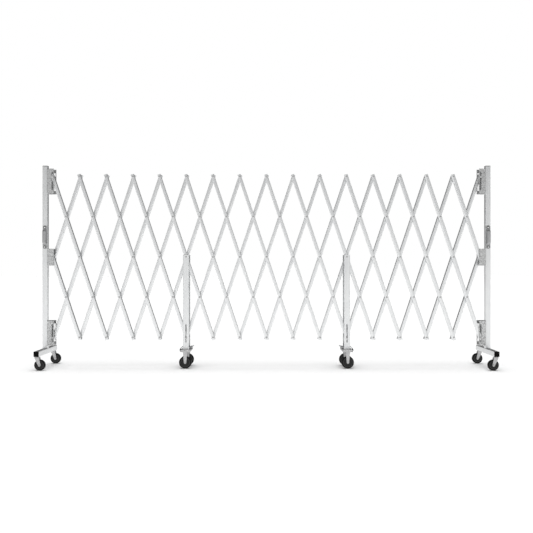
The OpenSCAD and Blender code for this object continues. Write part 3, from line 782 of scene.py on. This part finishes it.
def turnedUp(profile, segments=40):
    # (radius, height) turned about the z axis
    return place(revolve(profile, segments), upright)


def forkParts(centre, top):
    # the bent fork sheet with a flat plate under its crown
    side = wheelLook["width"] / 2 + forkLook["gap"]
    crownLow = top - forkLook["crown"]
    outline = roundCorners(box2(forkLook["topWidth"] - 1 * mm, 2 * side - 0.2 * mm), 2 * mm, 5)
    return [forkSheet(centre, crownLow),
            shift(plate(outline, crownLow, crownLow + forkLook["crownPlate"]), (centre, 0, 0))]


def makeEndCaster(side, way, end, front):
    trail, radius, ring, king = forkLook["trail"], wheelLook["endRadius"], forkLook["ring"], forkLook["king"]
    y = front * (endFrame["footLength"] / 2 - forkLook["inset"])
    centre = np.array((way * (endFrame["postX"] - trail), y, radius))
    top = endFrame["clearance"] - forkLook["raceDrop"] - radius
    race = turnedUp([(0, top), (ring, top), (ring + 0.4 * mm, top + 0.5 * mm), (ring + 0.4 * mm, top + 1.2 * mm),
                     (ring - 1 * mm, top + 1.4 * mm), (ring - 1 * mm, top + 1.8 * mm), (ring, top + 2 * mm),
                     (ring, top + 2.6 * mm), (king, top + 2.7 * mm), (king, top + forkLook["kingRise"]),
                     (0, top + forkLook["kingRise"] + 0.5 * mm)])
    node, mirror = f"{side}_{end}_caster", ((-way, 0, 0), (0, 1, 0), (0, 0, 1))
    parts = [*forkParts(-trail, top), shift(race, (-trail, 0, 0))]
    makePiece(f"{node}_fork_sheet", [place(k, mirror, centre) for k in parts], zincPlate,
              f"{node}_fork", (f"{node}_fork",))
    makePiece(f"{node}_axle", [place(k, mirror, centre) for k in axleParts()], zincPlate,
              f"{node}_fork")
    makeWheel(f"{node}_wheel", centre, radius)


for side, way in (("left", -1), ("right", 1)):
    for end, front in (("front", -1), ("rear", 1)):
        makeEndCaster(side, way, end, front)
print("end casters made")


supportLook = {
    "width": 45 * mm, "depth": 16 * mm, "wall": 3 * mm, "bend": 4 * mm, "over": 18 * mm, "baseTop": 137 * mm,
    "baseWidth": 76 * mm, "baseLength": 235 * mm, "rim": 13 * mm, "baseWall": 3 * mm, "baseSoft": 4 * mm,
    "corner": 10 * mm, "hinge": 6 * mm, "hingeBore": 3.1 * mm, "tipRound": 6 * mm,
    "wheelbase": 190 * mm, "wheel": 46 * mm, "lug": 5 * mm, "lugRadius": 7 * mm, "lugGap": 1 * mm,
    "pinRise": 8 * mm, "pin": 3 * mm, "pinHead": 4.2 * mm, "pinPast": 8 * mm, "headRise": 1.2 * mm,
    "neck": 46 * mm, "span": 100 * mm, "pedalWall": 3 * mm, "stem": 9 * mm, "stemLow": 4 * mm, "stemHigh": 8.2 * mm,
}


def basePlate():
    # a lid: rings of a rounded rectangle come down inside the rim, rise up outside it and close over the top
    look, wall, soft, rim = supportLook, supportLook["baseWall"], supportLook["baseSoft"], supportLook["rim"]
    outline = roundCorners(box2(look["baseWidth"], look["baseLength"]), look["corner"], 11)
    a, inner, edge = np.linspace(0, math.pi / 2, 6), (soft - wall) * 0.9, 0.3 * mm
    under = zip(-wall - inner + inner * np.sin(a[::-1]), wall + inner * (1 - np.cos(a[::-1])))
    over = zip(-soft + soft * np.sin(a), soft * (1 - np.cos(a)))
    return loft(np.stack([level(outline, look["baseTop"] + h, d)
                          for h, d in (*under, (-rim, wall), (-rim, edge), (-rim + edge, 0), *over)]))


def lugPlate(y):
    look = supportLook
    a = np.linspace(0, math.pi, 13)
    top = np.column_stack([look["lugRadius"] * np.cos(a), look["pinRise"] + look["lugRadius"] * np.sin(a)])
    outline = np.vstack([top, [(-look["lugRadius"], -0.01 * mm), (look["lugRadius"], -0.01 * mm)]])
    return shift(place(plate(outline, -look["lug"] / 2, look["lug"] / 2), upright), (0, y, look["baseTop"]))


def pedalSheet():
    # a strip that follows its bent line in x and z; its half width along y steps from the wings to the neck
    bends = [(-43, -26), (-49, -18), (-48, -8), (-39, 3), (-31, 9), (31, 9), (42, 10), (52, 15)]
    cuts = np.array([0.01, 4, 5, 5, 4, 4, 4, 0.01]) * mm
    line, reach = evenSteps(roundCorners(np.array(bends) * mm, cuts, 6)[5:-5], 110)
    wide, narrow, tipRound = supportLook["span"] / 2, supportLook["neck"] / 2 - 0.5 * mm, supportLook["tipRound"]
    inner = np.interp(line[:, 0], np.array([-31, -27, 27, 31]) * mm, [wide, narrow, narrow, wide])
    fromEnd = np.minimum(reach, reach[-1] - reach)
    corner = tipRound - np.sqrt(np.maximum(tipRound ** 2 - np.maximum(tipRound - fromEnd, 0) ** 2, 0))
    points, faces = ribbon(line, np.zeros(len(line)), inner - corner, supportLook["pedalWall"], 13)
    return points[:, [1, 0, 2]] - (0, 0, -supportLook["pedalWall"] / 2), faces


def makeSupport(side, way):
    look, mid, neck, wheel = supportLook, lattice["midHeight"], supportLook["neck"] / 2, supportLook["wheel"]
    x, body = way * (lattice["cells"] - clasp["column"]) * halfCell, f"{side}_support"
    slot = (mid - bracketLook["far"], mid - bracketLook["near"], bracketLook["slotRadius"], 0.0)
    channel = bentChannel(look["width"], look["depth"], look["bend"], look["baseTop"], mid + look["over"],
                          look["wall"], webSlot=slot, steps=20)
    sheets = [place(channel, ((1, 0, 0), (0, face, 0), (0, 0, 1)), (x, y, 0))
              for y, face in ((clasp["front"], 1), (clasp["rear"], -1))]
    makePiece(f"{side}_upright_channels", sheets, postMetal, body, (f"{side}_support_uprights",),
              bevel=0.5 * mm)
    bolt = carryingBolt(clasp["front"], clasp["rear"], look["wall"])
    makePiece(f"{side}_upright_bolt", [shift(k, (x, 0, mid)) for k in bolt], zincPlate, body)
    lugs = [lugPlate(k * (neck + look["lugGap"] + look["lug"] / 2)) for k in (-1, 1)]
    pinEnd = neck + look["pinPast"] - look["headRise"]
    pin = headedPin(look["pin"], look["pinHead"], look["headRise"], -pinEnd, pinEnd)
    forkTop = look["baseTop"] - look["baseWall"] - barLook["skin"] - wheel
    axles = [(0, k * look["wheelbase"] / 2, wheel) for k in (-1, 1)]
    parts = [basePlate(), *lugs, shift(pin, (0, 0, look["baseTop"] + look["pinRise"]))]
    parts += [shift(k, axle) for axle in axles for k in forkParts(0, forkTop)]
    makePiece(f"{side}_base_and_forks", [shift(k, (x, 0, 0)) for k in parts], zincPlate, body,
              (f"{side}_support_base",))
    makePiece(f"{side}_base_axles", [shift(k, np.array(axle) + (x, 0, 0)) for axle in axles for k in axleParts()],
              zincPlate, body)
    for end, axle in zip(("front", "rear"), axles):
        makeWheel(f"{side}_support_{end}_wheel", np.array(axle) + (x, 0, 0), wheel)
    hinge, bore, edge = look["hinge"], look["hingeBore"], 0.4 * mm
    tube = revolve([(bore, -neck), (hinge - edge, -neck), (hinge, -neck + 0.5 * mm), (hinge, neck - 0.5 * mm),
                    (hinge - edge, neck), (bore, neck)], 32)
    stem = plate(roundCorners(box2(look["stem"], 2 * neck - 2 * mm), 1 * mm), look["stemLow"], look["stemHigh"])
    pivot, mirror = (x, 0, look["baseTop"] + look["pinRise"]), ((-way, 0, 0), (0, 1, 0), (0, 0, 1))
    makePiece(f"{side}_pedal_plate", [place(k, mirror, pivot) for k in (pedalSheet(), tube, stem)], pedalMetal,
              f"{side}_brake_pedal", (f"{side}_brake_pedal",), bevel=0.5 * mm)


for side, way in (("left", -1), ("right", 1)):
    makeSupport(side, way)
print("supports made")


studio = {
    "floorHalf": 60.0, "floorGlow": 0.17, "floorAlbedo": 0.80, "overhead": 2.85, "overheadAngle": 58,
    "frontBounce": 1.35, "rearBounce": 0.95, "bounceStart": -1.6, "bounceEnd": 0.2,
    "ceiling": 0.16, "ceilingFull": 0.75, "frontWall": 0.54, "backWall": 0.17, "wallStart": -0.9, "wallEnd": 0.5,
    # how far the painted shadow under the object reaches on the floor, and the occlusion at which it is darkest
    "paintedShadowReach": 0.22, "paintedShadowOpen": 0.45, "background": 1.0,
    "cameraDistance": 5.62, "cameraHeight": 0.75, "lens": 50.0, "sensor": 36.0, "shiftY": 0.0028,
}


def splitByCamera(tree, seen, lit, output):
    # the camera sees one shader and the object is lit by the other
    rays = addNode(tree, "LightPath")
    mix = addNode(tree, "MixShader", Fac=rays.outputs["Is Camera Ray"], input1=lit, input2=seen)
    feed(tree, output, Surface=mix.outputs["Shader"])


def makeFloor():
    # matt white to look at, with a faint glow that dies where something stands close above, a painted shadow
    # on the floor under and around the object; what it throws back on the object is stronger in front than behind
    half = studio["floorHalf"]
    mesh = bpy.data.meshes.new("studioFloor")
    mesh.from_pydata(level(box2(2 * half, 2 * half), 0).tolist(), [], [(0, 1, 2, 3)])
    floor = addObject("studioFloor", mesh)
    material = bpy.data.materials.new("paleFloor")
    material.use_nodes = True
    tree = material.node_tree
    shader = tree.nodes["Principled BSDF"]
    for label, value in (("Roughness", 0.9), ("Specular IOR Level", 0.0), ("Emission Color", (1, 1, 1, 1)),
                         ("Base Color", (*(studio["floorAlbedo"],) * 3, 1))):
        shader.inputs[label].default_value = value
    # painted shadow: ambient occlusion dims the floor's glow under and close around the object
    near = addNode(tree, "AmbientOcclusion", samples=12, Distance=studio["paintedShadowReach"])
    feed(tree, shader, Emission_Strength=rangeOf(tree, near.outputs["AO"], 0.0, studio["floorGlow"],
                                                studio["paintedShadowOpen"], 1.0))
    split = addNode(tree, "SeparateXYZ", Vector=objectSpot(tree))
    bounce = rangeOf(tree, split.outputs["Y"], studio["frontBounce"], studio["rearBounce"],
                     studio["bounceStart"], studio["bounceEnd"])
    thrown = addNode(tree, "Emission", Color=(1, 1, 1, 1), Strength=bounce)
    splitByCamera(tree, shader.outputs["BSDF"], thrown.outputs["Emission"], tree.nodes["Material Output"])
    mesh.materials.append(material)
    return floor


def makeWorld():
    # soft light from the front, dimmer towards the back and the ceiling, on a background that looks white
    world = bpy.data.worlds.new("studioWorld")
    bpy.context.scene.world = world
    world.use_nodes = True
    tree = world.node_tree
    where = addNode(tree, "TexCoord")
    split = addNode(tree, "SeparateXYZ", Vector=where.outputs["Generated"])
    walls = rangeOf(tree, split.outputs["Y"], studio["frontWall"], studio["backWall"],
                    studio["wallStart"], studio["wallEnd"])
    rise = addNode(tree, "MapRange", interpolation_type="SMOOTHSTEP", Value=split.outputs["Z"],
                   From_Max=studio["ceilingFull"])
    room = addNode(tree, "Mix", data_type="FLOAT", Factor=rise.outputs["Result"], A=walls,
                   B=studio["ceiling"])
    background = tree.nodes["Background"]
    feed(tree, background, Color=room.outputs["Result"])
    plain = addNode(tree, "Background", Color=(1, 1, 1, 1), Strength=studio["background"])
    splitByCamera(tree, plain.outputs["Background"], background.outputs["Background"], tree.nodes["World Output"])


def overheadLight(takerObjects):
    # a wide soft overhead light for the floor, where it leaves the object's soft shadow, and for the low dull steel
    light = bpy.data.lights.new("softOverhead", "SUN")
    light.energy, light.angle = studio["overhead"], math.radians(studio["overheadAngle"])
    obj = addObject("softOverhead", light)
    takers = bpy.data.collections.new("overheadTakers")
    for taker in takerObjects:
        takers.objects.link(taker)
    obj.light_linking.receiver_collection = takers


makeWorld()
lowSteelNames = ("_pedal_plate", "_base_and_forks", "_fork_sheet")
lowSteel = [obj for obj in bpy.data.objects if obj.name.endswith(lowSteelNames)]
overheadLight([makeFloor(), *lowSteel])
camera = bpy.data.cameras.new("camera")
camera.lens, camera.sensor_width, camera.shift_y = studio["lens"], studio["sensor"], studio["shiftY"]
cameraObject = addObject("camera", camera)
cameraObject.location = (0, -studio["cameraDistance"], studio["cameraHeight"])
cameraObject.rotation_euler = (math.radians(90), 0, 0)
bpy.context.scene.camera = cameraObject
bpy.context.scene.view_settings.view_transform = "Standard"
print("studio ready")
